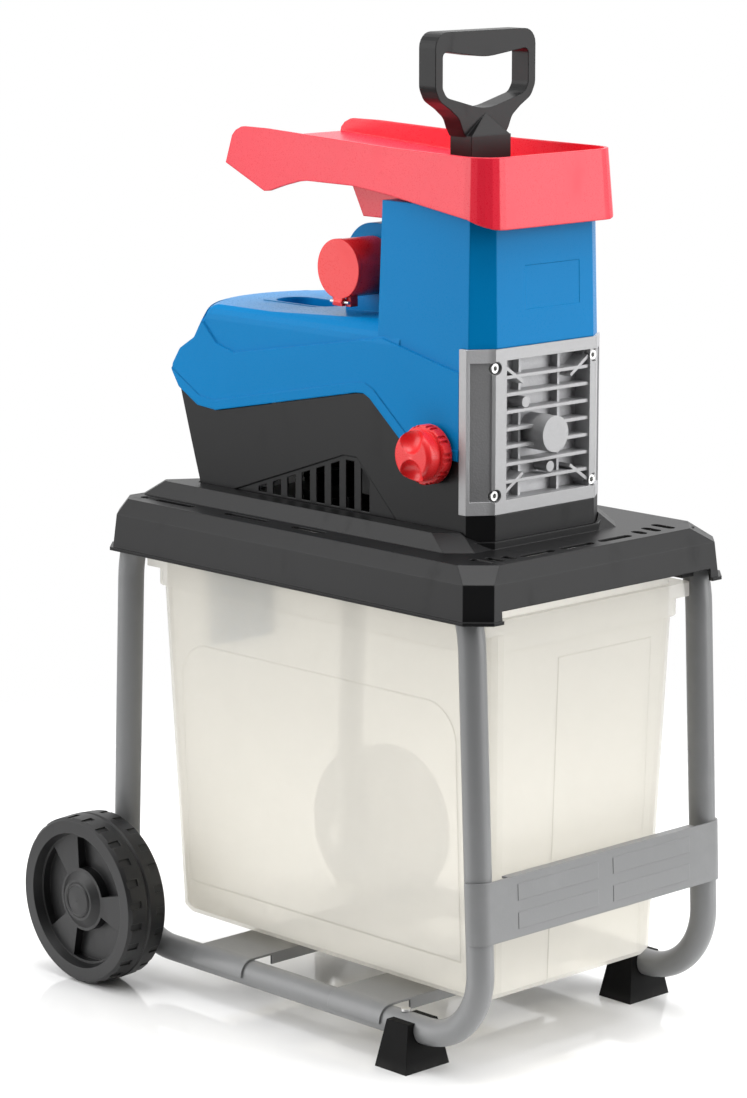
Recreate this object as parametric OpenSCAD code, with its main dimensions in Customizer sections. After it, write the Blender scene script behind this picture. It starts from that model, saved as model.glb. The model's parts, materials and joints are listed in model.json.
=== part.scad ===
// Electric garden wood chipper: a blue and black motor casing with a red feed hopper,
// standing on a wheeled tube frame over a slide-out collection box.
// X runs along the machine, wheels at the back (-X). Y runs across it. The floor is at z = 0.

/* [Stand] */
// Outside diameter of the frame tube
tube_d = 25; // [23:0.5:26]
// Wall thickness of the frame tube
tube_wall = 1.5; // [1:0.1:2.5]
// Distance between the two side frames, tube centre to tube centre
frame_span = 298; // [294:0.5:299]
// Distance of the leg centres inside the cover's rim, just above the lower bends
leg_in = 14.9; // [13:0.1:18]
// Lean of the legs towards the middle of the machine, in degrees
leg_lean = 2.4; // [1:0.2:3]
// Centreline radius of the lower bends
bend_r = 67; // [60:1:76]
// Height of the lower tubes' centreline
rail_z = 36; // [33:0.5:39]
// Centreline radius of the upper bends, which tuck the legs under the cover
top_bend_r = 130; // [110:5:150]
// Turn of the upper bends, in degrees
top_bend_turn = 24; // [20:1:27]
// Thickness of the pressed cross plates
plate_t = 2; // [1.5:0.1:2.5]
// Width of each floor plate
plate_w = 69; // [60:1:80]
// Distance of each floor plate from the middle of the cover
plate_x = 94.5; // [86:0.5:100]
// Height of the front brace
brace_h = 56.5; // [48:0.5:64]
// Height of the middle of the front brace
brace_z = 162; // [154:1:175]

/* [Wheels and feet] */
// Wheel diameter
wheel_d = 165; // [155:1:172]
// Wheel width
wheel_w = 46; // [42:1:50]
// Diameter of the stub axles
axle_d = 12; // [10:0.5:13]
// Length of the spacer between a leg and its wheel
spacer_l = 8.5; // [6:0.5:12]
// Tread blocks on each shoulder of a wheel
tread_blocks = 24; // [18:1:28]
// Length of a rubber foot at the floor
foot_l = 40.5; // [36:0.5:46]
// Width of a rubber foot at the floor
foot_w = 55; // [48:1:60]
// Height of a rubber foot
foot_h = 44; // [41:0.5:46]
// Distance of the feet from the ends of the straight lower tubes
foot_in = 19.5; // [17:0.5:26]

/* [Base cover] */
// Reach of the cover's rim past the box at each end
cover_over = 34.4; // [31:0.2:38]
// Width of the cover over its rim
cover_w = 337.6; // [335:0.2:345]
// Corner chamfer of the cover
cover_c = 19.3; // [14:0.1:22]
// Height of the rim above the floor
rim_z = 422.3; // [412:0.1:432]
// Height of the skirt
skirt_h = 35; // [32:0.5:38]
// Height of the bevel between the skirt and the deck
bevel_h = 14.5; // [12:0.5:17]
// Wall thickness of the cover
cover_wall = 2.5; // [2:0.1:3]
// Height of the collar round the casing
collar_h = 15; // [12:0.5:17]
// Depth of the cut-back in the front of the skirt
notch_h = 11; // [8:0.5:14]

/* [Collection box] */
// Outside length of the box under its rim
box_l = 448; // [436:1:452]
// Outside width of the box under its rim
box_w = 262; // [252:1:264]
// Wall thickness of the box
box_wall = 2.5; // [2:0.1:3.5]
// How much each wall leans in from the rim to the bottom
box_draft = 12.5; // [9:0.5:14]
// Corner radius of the box
box_r = 25; // [20:1:30]
// Height of the skids under the box
skid_h = 10; // [8:0.5:12]
// Gap between the box's rim and the cover's rim
box_gap = 4; // [3:0.5:6]
// Width of the slide latch
latch_w = 78; // [66:1:84]
// Travel of the slide latch
latch_travel = 14; // [10:1:16]

/* [Casing] */
// Distance of the casing's middle plane from the middle of the cover
body_y = -15; // [-18:0.5:-12]
// Width of the casing
body_w = 172; // [170:0.5:176]
// Length from the casing's nose to its front face
body_l = 415; // [405:1:420]
// Distance of the front face from the middle of the cover
face_x = 190; // [187:0.5:193]
// Chamfer of the two front corners across the casing
face_c = 21.5; // [19:0.5:23]
// Chamfer of the two front corners along the casing
face_cx = 15.5; // [13:0.5:18]
// Wall thickness of the casing
shell = 3; // [2.4:0.1:3.4]
// Height of the motor hood at the tower
hood_h = 192; // [188:0.5:198]
// Drop of the hood's top towards the nose
hood_drop = 6; // [4:0.5:9]
// Height of the nose
nose_h = 121.5; // [118:0.5:125]
// Length of the tower at its foot
tower_l = 132.5; // [128:0.5:136]
// Height of the tower
tower_h = 301; // [294:1:308]
// How much each tower wall leans in towards the top
tower_lean = 4; // [3:0.5:5]
// Depth of the step between the raised lower band and the hood above it
band_step = 2; // [1.2:0.2:2.4]

/* [Cutting unit] */
// Height of the drum axis above the deck
drum_h = 96; // [94:0.5:98]
// Radius over the drum's teeth
drum_r = 40; // [37:0.5:41]
// Length of the drum
drum_l = 63; // [56:0.5:66]
// Toothed rings on the drum
drum_rings = 7; // [5:1:8]
// Teeth on each ring
ring_teeth = 8; // [6:1:10]
// Diameter of the drum shaft
shaft_d = 25; // [22:0.5:26]
// Depth of the ribbed end casting
cap_t = 24.5; // [23:0.5:26]
// Height of the ribbed end casting
cap_h = 148.5; // [146:0.5:151]
// Height of the end casting's foot above the deck
cap_z = 28.5; // [27:0.5:30]
// Cooling fins on the end casting
fins = 7; // [5:1:9]
// Thickness of a fin
fin_t = 3; // [2.4:0.2:3.6]
// Diameter of the adjusting knob's skirt
knob_d = 54; // [51:0.5:57]
// Diameter of the adjusting screw
screw_d = 12; // [10:0.5:13]
// Gap between the pressure plate and the drum's teeth
nip = 5; // [4.5:0.1:5.5]

/* [Drive] */
// Teeth on the motor pinion and on the countershaft pinion
pinion_teeth = 15; // [14:1:16]
// Teeth on the countershaft wheel
idler_teeth = 75; // [72:1:76]
// Teeth on the drum gear
drum_teeth = 57; // [55:1:59]
// Module of the first gear pair
gear_m = 1; // [0.98:0.01:1.01]
// Diameter of the motor's stator
stator_d = 128; // [122:1:130]
// Diameter of the motor's rotor
rotor_d = 75; // [70:1:78]

/* [Hopper and plunger] */
// Height of the hopper's rim above the tower at the chute's mouth
hopper_rise = 54; // [50:0.5:58]
// Drop of the hopper's rim from the mouth to the front
rim_drop = 9; // [6:0.5:12]
// Width between the outsides of the hopper's walls at the chute's mouth
mouth_w = 140; // [132:1:150]
// Distance of the chute's mouth from the front face
mouth_l = 327; // [315:1:335]
// Overhang of the hopper's lower edge past the tower's walls
hopper_over = 7; // [6:0.5:9]
// Wall thickness of the hopper
hopper_wall = 3; // [2.4:0.1:3.6]
// Inside length of the feed throat
throat_l = 84; // [80:0.5:88]
// Inside width of the feed throat
throat_w = 104; // [98:0.5:110]
// Width of the plunger's handle
handle_w = 127; // [120:1:134]
// Thickness of the plunger's handle
handle_t = 21; // [18:0.5:24]
// Height of the plunger's handle above the hopper's rim
handle_rise = 96; // [92:1:102]

/* [Inlet and switches] */
// Diameter of the appliance inlet
inlet_d = 54; // [51:0.5:56]
// Length of the appliance inlet's barrel
inlet_l = 40; // [36:0.5:44]
// Diameter of the start and stop buttons
button_d = 16; // [14:0.5:18]
// Travel of the start and stop buttons
button_travel = 3; // [2:0.25:3]

/* [Hidden] */
$fn = 64;

// Fits: a seat that only locates, a running shaft, and room round a moving piece
seat = 0.2;
run = 0.05;
room = 0.5;
// Thickness of the two end slices of a lofted form
slice = 0.01;
// Overshoot that lets a cut pass clear through a face
over = 1;

// Stand
cover_l = box_l + 2 * cover_over;
leg_spread = cover_l - 2 * leg_in;
tube_r = tube_d / 2;
seat_r = tube_r + seat;
frame_y = frame_span / 2;
rail_half = leg_spread / 2 - bend_r * cos(leg_lean);
bend_z = rail_z + bend_r;
leg_foot = [leg_spread / 2, bend_z + bend_r * sin(leg_lean)];
tube_top_z = rim_z + skirt_h - 11;
leg_l = (tube_top_z - leg_foot.y - top_bend_r * (sin(leg_lean + top_bend_turn) - sin(leg_lean)))
    / cos(leg_lean);
leg_head = leg_foot + leg_l * [-sin(leg_lean), cos(leg_lean)];
top_bend_c = leg_head - top_bend_r * [cos(leg_lean), sin(leg_lean)];
bolt_turn = leg_lean + top_bend_turn - 5;
bolt_at = top_bend_c + top_bend_r * [cos(bolt_turn), sin(bolt_turn)];
foot_x = rail_half - foot_in;
brace_x = leg_foot.x - (brace_z - leg_foot.y) * tan(leg_lean);
bolt_r = 4;

// Wheels
axle_z = wheel_d / 2;
axle_x = -(rail_half + bend_r * cos(asin((axle_z - bend_z) / bend_r)));
axle_r = axle_d / 2;
wheel_in = frame_y + tube_r + spacer_l;
nut_t = 8;
head_t = 6;
hub_r = 20;
cap_r = 17;

// The part's box is centred on the origin
front_reach = max(cover_l / 2, brace_x + seat_r + plate_t + brace_h / 2 * sin(leg_lean));
base_x = -(front_reach + axle_x - wheel_d / 2) / 2;

// Cover
lip = 2;
lip_t = 3;
skirt_draft = 3;
deck_top = rim_z + skirt_h + bevel_h;
pad_h = 2;
deck_z = deck_top + pad_h;
skirt_l = cover_l - 2 * lip;
skirt_w = cover_w - 2 * lip;
deck_l = skirt_l - 25;
deck_w = skirt_w - 32;
deck_y = -4;
deck_c = 26;
deck_rear_c = 16;

// Collection box
box_x = 4;
box_top = rim_z - box_gap;
box_floor = rail_z + seat_r + plate_t + skid_h + 0.3;
flange_out = 5;
latch_t = 5;
latch_y = -14;
latch_tongue = 34;
latch_x = box_x - box_l / 2 - flange_out - room - latch_t / 2;

// Casing: heights are above the pad that it stands on
nose_x = face_x - body_l;
nose_r = 160;
nose_c = nose_x + 135;
tower_x = face_x - tower_l;
tower_base = 60;
foot_x0 = nose_x + 45;
foot_nose_r = nose_r - 35;
body_hw = body_w / 2;
hood_hw = body_hw - band_step;
cap_x = face_x - cap_t;
cap_mid = cap_z + cap_h / 2;
parting = [
    [nose_x - 60, 143], [nose_x + 39, 88], [nose_x + 65, 86], [tower_x - 24, 124], [tower_x - 14, 124.5],
    [tower_x - 6, 121], [tower_x + 38.5, 84], [tower_x + 50, 77], [face_x + 40, 76]
];
crease = [
    [face_x + 40, 141], [tower_x + 8.5, hood_h - 15], [nose_x + 90, 143.5], [nose_x + 65, 150],
    [nose_x + 43, 171], [nose_x + 33, 215], [nose_x - 60, 215]
];
lip_h = 9.5;
hump_r = 37;
hump_x = tower_x - 97.5;
hump_z = tower_h - 66;
hump_y = [-30, 38];
collar_out = [-deck_l / 2, face_x + 2];
collar_in = [-deck_l / 2 + 24, face_x - 20];
collar_hw = [body_hw + 25.5, body_hw + 19];
fin_w = 7;

// Cutting unit and drive
axis_z = deck_z + drum_h;
shaft_r = shaft_d / 2;
journal_r = 6;
front_bearing_r = 14;
front_bearing_w = 8;
rear_bearing_r = 23.5;
rear_bearing_w = 12;
chamber_l = 98;
wall_x = cap_x - chamber_l;
wall_t = rear_bearing_w;
drum_x = (cap_x + wall_x + wall_t) / 2 - drum_l / 2;
chamber_wall = 6;
jaw_t = 14;
chamber_y = [-(drum_r + nip + jaw_t + 8), drum_r + 3];
chamber_z = [cap_z - 2, cap_z + cap_h + 2];
pair_d = gear_m * (pinion_teeth + idler_teeth) / 2;
drum_m = 2 * pair_d / (pinion_teeth + drum_teeth);
idler_turn = -40;
idler_at = pair_d * [cos(idler_turn), sin(idler_turn)];
gear1_w = 12;
gear2_w = 20;
gear2_x = wall_x - gear2_w - 12;
gear1_x = gear2_x - gear1_w - 9;
idler_r = 6;
gearbox_wall = 14;
gearbox_x = gear1_x - gearbox_wall - 7;
motor_shaft_r = 7.5;
motor_bearing_r = 17.5;
motor_bearing_w = 11;
shield_t = 12;
fan_w = 20;
fan_gap = 6;
fan_x = nose_x + 93.5;
stator_x = fan_x + fan_w + fan_gap + shield_t;
stator_l = gearbox_x - stator_x;
fan_r = 50;
knob_x = face_x - 57;
knob_z = 80;
screw_r = screw_d / 2;
jaw_back = -(drum_r + nip + jaw_t);

// Hopper and plunger: heights are above the tower
hopper_r = 24;
hopper_flare = 5;
throat_x = tower_x + 53;
floor_h = 20;
shaft_wall = 3;
plunger_x = tower_x + 44;
stem = [27, 50];
stem_shift = 4;
stem_top = 94;
ram_clear = 0.4;
rim_h = deck_z + tower_h + hopper_rise;
floor_z = deck_z + tower_h + floor_h;
ram_h = 12;
ram_z = deck_z + tower_h - 75;

// Inlet and switches
inlet_x = hump_x + hump_r;
inlet_z = hump_z - 2;
inlet_r = inlet_d / 2;
flap_t = 4;
hinge_drop = inlet_r + 3.5;
flap_pin_r = 1.5;
button_z = hump_z - 17;

function unit(v) = v / norm(v);
function turned(v, a) = [v.x * cos(a) - v.y * sin(a), v.x * sin(a) + v.y * cos(a)];
function lifted(pts, dz) = [for (p = pts) [p.x, p.y + dz]];
function flipped(pts) = [for (i = [len(pts) - 1 : -1 : 0]) pts[i]];

// The arc of radius r that rounds corner c between its neighbours p and n
function corner_arc(p, c, n, r, steps) =
    let (u = unit(p - c), v = unit(n - c), bend = acos(u * v), way = cross(c - p, n - c) > 0 ? 1 : -1)
    let (mid = c + unit(u + v) * r / sin(bend / 2), first = c + u * r / tan(bend / 2) - mid)
    [for (k = [0 : steps]) mid + turned(first, way * k * (180 - bend) / steps)];

// A closed outline with corner i rounded to radii[i]
function rounded(pts, radii, steps = 6) =
    let (count = len(pts))
    [for (i = [0 : count - 1]) each radii[i] > 0
        ? corner_arc(pts[(i + count - 1) % count], pts[i], pts[(i + 1) % count], radii[i], steps)
        : [pts[i]]];

// A counterclockwise outline moved inwards by d, edge by edge
function inset(pts, d) =
    let (count = len(pts))
    [for (i = [0 : count - 1])
        let (a = unit(pts[i] - pts[(i + count - 1) % count]), b = unit(pts[(i + 1) % count] - pts[i]))
        let (na = [-a.y, a.x], nb = [-b.y, b.x])
        pts[i] + (na + nb) * d / (1 + na * nb)];

// A rectangle with chamfered corners, counterclockwise about the origin, with rear chamfers rc
function cut_rectangle(l, w, c, rc) = [
    [-l / 2, -w / 2 + rc], [-l / 2 + rc, -w / 2], [l / 2 - c, -w / 2], [l / 2, -w / 2 + c],
    [l / 2, w / 2 - c], [l / 2 - c, w / 2], [-l / 2 + rc, w / 2], [-l / 2, w / 2 - rc]
];
function moved(pts, by) = [for (p = pts) p + by];

// The places of the machine's own frames
module on_base() translate([base_x, 0, 0]) children();
module on_deck() translate([base_x, body_y, deck_z]) children();
module on_axis() translate([base_x, body_y, axis_z]) children();
module on_tower() translate([base_x, body_y, deck_z + tower_h]) children();
module on_inlet() translate([base_x + inlet_x, body_y + hump_y[0], deck_z + inlet_z]) children();

// Extrusions of a drawing along each axis: (y, z) drawings along X and (x, z) drawings along Y
module along_x(l) rotate([90, 0, 90]) linear_extrude(height = l) children();
module across(w) rotate([90, 0, 0]) linear_extrude(height = w, center = true) children();
module rod_x(l, r) rotate([0, 90, 0]) cylinder(h = l, r = r);
module rod_y(l, r) rotate([-90, 0, 0]) cylinder(h = l, r = r);
module block(low, high) translate(low) cube(high - low);
module ring(r_out, r_in, l) {
    difference() {
        cylinder(h = l, r = r_out);
        translate([0, 0, -over]) cylinder(h = l + 2 * over, r = r_in);
    }
}
module loft(z0, low, z1, high) {
    hull() {
        translate([0, 0, z0]) linear_extrude(height = slice) polygon(low);
        translate([0, 0, z1 - slice]) linear_extrude(height = slice) polygon(high);
    }
}

// One side frame's tube as a solid of radius r, a closed U with tucked-in tops
module tube_run(r, extra) {
    translate([-rail_half, 0, rail_z]) rod_x(2 * rail_half, r);
    for (end = [0, 1]) mirror([end, 0, 0]) translate([rail_half, 0, bend_z]) rotate([90, 0, 0]) {
        rotate(-90) rotate_extrude(angle = 90 + leg_lean) translate([bend_r, 0]) circle(r = r);
        rotate(leg_lean) translate([bend_r, 0, 0]) {
            rod_y(leg_l, r);
            translate([-top_bend_r, leg_l, 0]) rotate_extrude(angle = top_bend_turn + extra)
                translate([top_bend_r, 0]) circle(r = r);
        }
    }
}

module side_frame(side) {
    color("gray") on_base() translate([0, side * frame_y, 0]) difference() {
        tube_run(tube_r, 0);
        tube_run(tube_r - tube_wall, over);
        translate([axle_x, -tube_d, axle_z]) rod_y(2 * tube_d, axle_r + seat);
        for (end = [-1, 1]) translate([end * bolt_at.x, side > 0 ? -tube_d : 0, bolt_at.y])
            rod_y(tube_d, bolt_r + seat);
        translate([foot_x - 8, 0, rail_z - tube_d]) cylinder(h = 2 * tube_d, r = 2.5 + seat);
    }
}
module side_frame_left() side_frame(-1);
module side_frame_right() side_frame(1);

// Pressed floor plate, folded down along both edges and wrapped over the tubes
module floor_plate(x) {
    fold = 10;
    color("gray") on_base() translate([x - plate_w / 2, 0, rail_z]) {
        translate([0, -frame_y, seat_r]) cube([plate_w, frame_span, plate_t]);
        for (side = [-1, 1]) translate([0, side * frame_y, 0]) along_x(plate_w) intersection() {
            difference() {
                circle(r = seat_r + plate_t);
                circle(r = seat_r);
            }
            polygon([[0, 0], [side * 2 * tube_d, -6], [side * 2 * tube_d, 2 * tube_d], [0, 2 * tube_d]]);
        }
        for (x_edge = [0, plate_w - plate_t])
            translate([x_edge, -frame_y + tube_d, seat_r + plate_t / 2 - fold])
                cube([plate_t, frame_span - 2 * tube_d, fold]);
    }
}
module rear_floor_plate() floor_plate(-plate_x);
module front_floor_plate() floor_plate(plate_x);

// Front brace between the legs, leaning with them and wrapped round their outsides
module front_brace() {
    fold = 8;
    panel = [1, 104, 15];
    color("gray") on_base() translate([brace_x, 0, brace_z]) rotate([0, -leg_lean, 0]) {
        linear_extrude(height = brace_h, center = true) {
            translate([seat_r, -frame_y]) square([plate_t, frame_span]);
            for (side = [-1, 1]) translate([0, side * frame_y]) intersection() {
                difference() {
                    circle(r = seat_r + plate_t);
                    circle(r = seat_r);
                }
                polygon([[0, 0], [2 * tube_d, 0], [2 * tube_d, side * 2 * tube_d],
                    [-10, side * 2 * tube_d]]);
            }
        }
        for (z = [-1, 1]) translate([seat_r - fold, -frame_y + tube_d,
            z * (brace_h - plate_t) / 2 - plate_t / 2])
            cube([fold + plate_t / 2, frame_span - 2 * tube_d, plate_t]);
        for (y = [-1, 1], z = [-1, 1])
            translate([seat_r + plate_t - panel.x / 2, y * 62 - panel.y / 2, z * 13 - panel.z / 2])
                cube(panel);
    }
}

// Rubber foot: a truncated pyramid with a saddle for the tube
module foot(side) {
    top = 0.68;
    color("#222222") on_base() translate([foot_x, side * frame_y, 0]) difference() {
        intersection() {
            across(2 * foot_w) polygon([
                [-foot_l / 2, 0], [foot_l / 2, 0], [foot_l / 2 * top, foot_h], [-foot_l / 2 * top, foot_h]
            ]);
            translate([-foot_l, 0, 0]) along_x(2 * foot_l) polygon([
                [-foot_w / 2, 0], [foot_w / 2, 0], [foot_w / 2 * top, foot_h], [-foot_w / 2 * top, foot_h]
            ]);
        }
        translate([-foot_l, 0, rail_z]) rod_x(2 * foot_l, seat_r);
        translate([-8, 0, 6]) cylinder(h = foot_h, r = 2.5 + seat);
    }
}
module foot_left() foot(-1);
module foot_right() foot(1);

module foot_screws() {
    color("silver") on_base() for (side = [-1, 1]) translate([foot_x - 8, side * frame_y, 0]) {
        translate([0, 0, 8]) cylinder(h = rail_z + tube_r - 8 + seat, r = 2.5);
        translate([0, 0, rail_z + tube_r + seat]) cylinder(h = 2.4, r = 4.5);
    }
}

// Moulded wheel with three spokes, drawn with its outer face towards +Z
module wheel_form() {
    rim_in = wheel_d / 2 - 19;
    face = wheel_w - 9;
    tread = wheel_d / 2;
    difference() {
        rotate_extrude() polygon([
            [axle_r + run, 0], [hub_r, 0], [hub_r, wheel_w - 26], [rim_in + 6, wheel_w - 26],
                [rim_in + 6, 0],
            [tread - 4, 0], [tread - 1, 3], [tread, wheel_w / 2 - 2], [tread - 1.5, wheel_w / 2],
            [tread, wheel_w / 2 + 2], [tread - 1, wheel_w - 3], [tread - 4, wheel_w],
                [rim_in + 3, wheel_w],
            [rim_in, face], [hub_r + 8, face + 2], [hub_r, wheel_w - 2], [cap_r + seat, wheel_w - 2],
            [cap_r + seat, wheel_w - 6], [13, wheel_w - 6], [13, wheel_w - 17],
                [axle_r + run, wheel_w - 17]
        ]);
        for (k = [0 : 2]) rotate(k * 120 + 15) translate([0, 0, face - 8])
            rotate_extrude(angle = 82) translate([hub_r + 11, 0]) square([rim_in - hub_r - 13, 20]);
        for (k = [0 : tread_blocks - 1], row = [0, 1]) rotate((k + row / 2) * 360 / tread_blocks)
            translate([tread - 2, -3.5, row * (wheel_w - 13) - over]) cube([6, 7, 13 + 2 * over]);
    }
}
module wheel_place(side) {
    on_base() translate([axle_x, side * wheel_in, axle_z]) rotate([side > 0 ? -90 : 90, 0, 0]) children();
}
module wheel_left() color("#202020") wheel_place(-1) wheel_form();
module wheel_right() color("#202020") wheel_place(1) wheel_form();

module hub_cap_form() {
    translate([0, 0, wheel_w - 6 + seat]) rotate_extrude()
        polygon([[0, 0], [cap_r, 0], [cap_r, 4], [cap_r - 2, 5], [cap_r - 3, 4.2], [0, 5.4]]);
}
module hub_cap_left() color("#2a2a2a") wheel_place(-1) hub_cap_form();
module hub_cap_right() color("#2a2a2a") wheel_place(1) hub_cap_form();

// Stub axle: a shouldered bolt with its head under the hub cap and a nut inside the leg
module axle_form() {
    reach = spacer_l + 2 * tube_r + nut_t + 3;
    translate([0, 0, -reach]) cylinder(h = reach + wheel_w - 17 + room, r = axle_r);
    translate([0, 0, wheel_w - 17 + room]) cylinder(h = head_t, r = 10, $fn = 6);
}
module axle_bolt_left() color("silver") wheel_place(-1) axle_form();
module axle_bolt_right() color("silver") wheel_place(1) axle_form();

module axle_spacers() {
    color("#404040") for (side = [-1, 1]) wheel_place(side)
        translate([0, 0, -spacer_l + seat]) ring(hub_r - 6, axle_r + seat, spacer_l - 2 * seat);
}

module axle_nuts() {
    color("silver") for (side = [-1, 1]) wheel_place(side)
        translate([0, 0, -spacer_l - tube_d - nut_t - seat]) difference() {
            cylinder(h = nut_t, r = 11, $fn = 6);
            translate([0, 0, -over]) cylinder(h = nut_t + 2 * over, r = axle_r + run);
        }
}

// The cover's dished form, moved inwards by d
module cover_form(d) {
    knee_l = skirt_l - 2 * skirt_draft;
    knee_w = skirt_w - 2 * skirt_draft;
    low = cut_rectangle(skirt_l - 2 * d, skirt_w - 2 * d, cover_c, cover_c);
    knee = cut_rectangle(knee_l - 2 * d, knee_w - 2 * d, cover_c, cover_c);
    top = moved(cut_rectangle(deck_l - 2 * d, deck_w - 2 * d, deck_c, deck_rear_c), [0, deck_y]);
    loft(d > 0 ? rim_z - over : rim_z, low, rim_z + skirt_h - d / 2, knee);
    loft(rim_z + skirt_h - d / 2 - slice, knee, deck_top - d, top);
}

// Footprint of the casing, with room round it
module casing_foot(gap) {
    w = body_hw + gap;
    front = face_x + gap;
    intersection() {
        polygon([
            [nose_x - 60, -w], [front - face_cx, -w], [front, -w + face_c], [front, w - face_c],
            [front - face_cx, w], [nose_x - 60, w]
        ]);
        union() {
            translate([nose_c, 0]) circle(r = foot_nose_r + collar_h / 4 + gap, $fn = 128);
            translate([nose_c, -w]) square([body_l, 2 * w]);
        }
    }
}

module slot(l, w) {
    translate([(w - l) / 2, 0]) circle(d = w);
    translate([(l - w) / 2, 0]) circle(d = w);
    square([l - w, w], center = true);
}

// The collar: side walls that run out at the rear and sweep down to a low lip at the front
module collar() {
    mid = [(collar_out[0] + collar_out[1]) / 2, (collar_in[0] + collar_in[1]) / 2];
    low = moved(cut_rectangle(collar_out[1] - collar_out[0], 2 * collar_hw[0], cover_c, 6),
        [mid[0], body_y]);
    top = moved(cut_rectangle(collar_in[1] - collar_in[0], 2 * collar_hw[1], cover_c, 6),
        [mid[1], body_y]);
    inner = collar_hw[1] - fin_w;
    lip_h = 5;
    difference() {
        loft(deck_top - slice, low, deck_top + collar_h, top);
        translate([0, body_y, deck_z]) linear_extrude(height = collar_h) polygon([
            [collar_out[0] - over, -inner], [collar_in[0], -inner], [foot_x0 - 16, -inner + 36],
            [foot_x0 - 16, inner - 36], [collar_in[0], inner], [collar_out[0] - over, inner]
        ]);
    }
    translate([0, body_y, deck_top - slice]) linear_extrude(height = pad_h + lip_h)
        casing_foot(room + 2.5);
}

module deck_slots() {
    side_slots = [[-190, 76], [-78, 57], [8, 43]];
    long_slots = [-51, 0, 50];
    short_slots = [[-112, 27], [-98, 22], [-83, 17], [87, 17], [106, 22], [125, 27]];
    slot_w = 9;
    front = deck_l / 2 - 10;
    for (s = side_slots, side = [-1, 1])
        translate([s[0], deck_y + side * (deck_w / 2 - 18)]) slot(s[1], slot_w);
    for (y = long_slots) translate([front - slot_w / 2, body_y + y]) rotate(90) slot(42, slot_w);
    for (s = short_slots) translate([front - s[1] / 2, body_y + s[0]]) slot(s[1], slot_w);
}

module base_cover() {
    block_y = frame_y - tube_r - seat;
    block_w = 16;
    notch_side = 32;
    color("#1e1e1e") on_base() {
        difference() {
            union() {
                cover_form(0);
                translate([0, 0, rim_z]) linear_extrude(height = lip_t)
                    polygon(cut_rectangle(cover_l, cover_w, cover_c, cover_c));
                collar();
            }
            cover_form(cover_wall);
            translate([0, body_y, deck_z]) linear_extrude(height = collar_h + over) casing_foot(room);
            translate([throat_x, body_y, deck_z])
                cube([throat_l, throat_w - 8, 6 * cover_wall], center = true);
            translate([0, 0, deck_top - 2 * cover_wall]) linear_extrude(height = 4 * cover_wall)
                deck_slots();
            translate([cover_l / 2 - 25, -cover_w / 2 + notch_side, rim_z - over])
                cube([40, cover_w - 2 * notch_side, notch_h + over]);
            housing_screw_places() translate([0, 0, -3 * cover_wall])
                cylinder(h = 6 * cover_wall, r = 2.5 + seat);
        }
        for (end = [-1, 1], side = [-1, 1]) difference() {
            block(
                [end * bolt_at.x - 13, side > 0 ? block_y - block_w : -block_y, bolt_at.y - 12],
                [end * bolt_at.x + 13, side > 0 ? block_y : block_w - block_y, deck_top - cover_wall / 2]
            );
            translate([end * bolt_at.x, side * block_y - 20, bolt_at.y]) rod_y(40, bolt_r + seat);
        }
    }
}

module frame_bolts() {
    head_y = frame_y - tube_r - seat - 16;
    color("silver") on_base() for (end = [-1, 1], side = [-1, 1])
        translate([end * bolt_at.x, side * head_y, bolt_at.y]) rotate([side > 0 ? -90 : 90, 0, 0]) {
            cylinder(h = 16 + tube_wall + 5, r = bolt_r);
            translate([0, 0, -5 - seat]) cylinder(h = 5, r = 6.5, $fn = 6);
            translate([0, 0, -seat - slice]) cylinder(h = 2 * seat, r = bolt_r);
        }
}

// Safety switch under the deck, with a slot for the box latch's tongue
module interlock_switch() {
    low = rim_z + 3;
    top = deck_top - cover_wall - seat;
    w = latch_tongue + 18;
    color("#303030") on_base() translate([latch_x, latch_y, 0]) difference() {
        across(w) polygon([[-9, low], [13, low], [13, top], [-3, top], [-9, top - 9]]);
        block(
            [-latch_t, -latch_tongue / 2 - room, low - over],
                [latch_t, latch_tongue / 2 + room, low + latch_travel + 6]
        );
    }
}

function box_outline(z_share, d, r) =
    let (draft = box_draft * (1 - z_share), l = box_l - 2 * draft - 2 * d, w = box_w - 2 * draft - 2 * d)
    rounded([[-l / 2, -w / 2], [l / 2, -w / 2], [l / 2, w / 2], [-l / 2, w / 2]], [r, r, r, r]);

module box_form(d) {
    foot_r = 20;
    h = box_top - box_floor;
    hull() {
        for (s = [[0, 0.62], [0.08, 0.24], [0.38, 0]])
            translate([0, 0, box_floor + d + s[0] * foot_r]) linear_extrude(height = slice)
                polygon(box_outline(s[0] * foot_r / h, d + s[1] * foot_r, box_r - d - s[1] * foot_r));
        translate([0, 0, box_floor + foot_r]) linear_extrude(height = slice)
            polygon(box_outline(foot_r / h, d, box_r - d));
        translate([0, 0, box_top - (d > 0 ? -over : slice)]) linear_extrude(height = slice)
            polygon(box_outline(1, d, box_r - d));
    }
}

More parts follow.
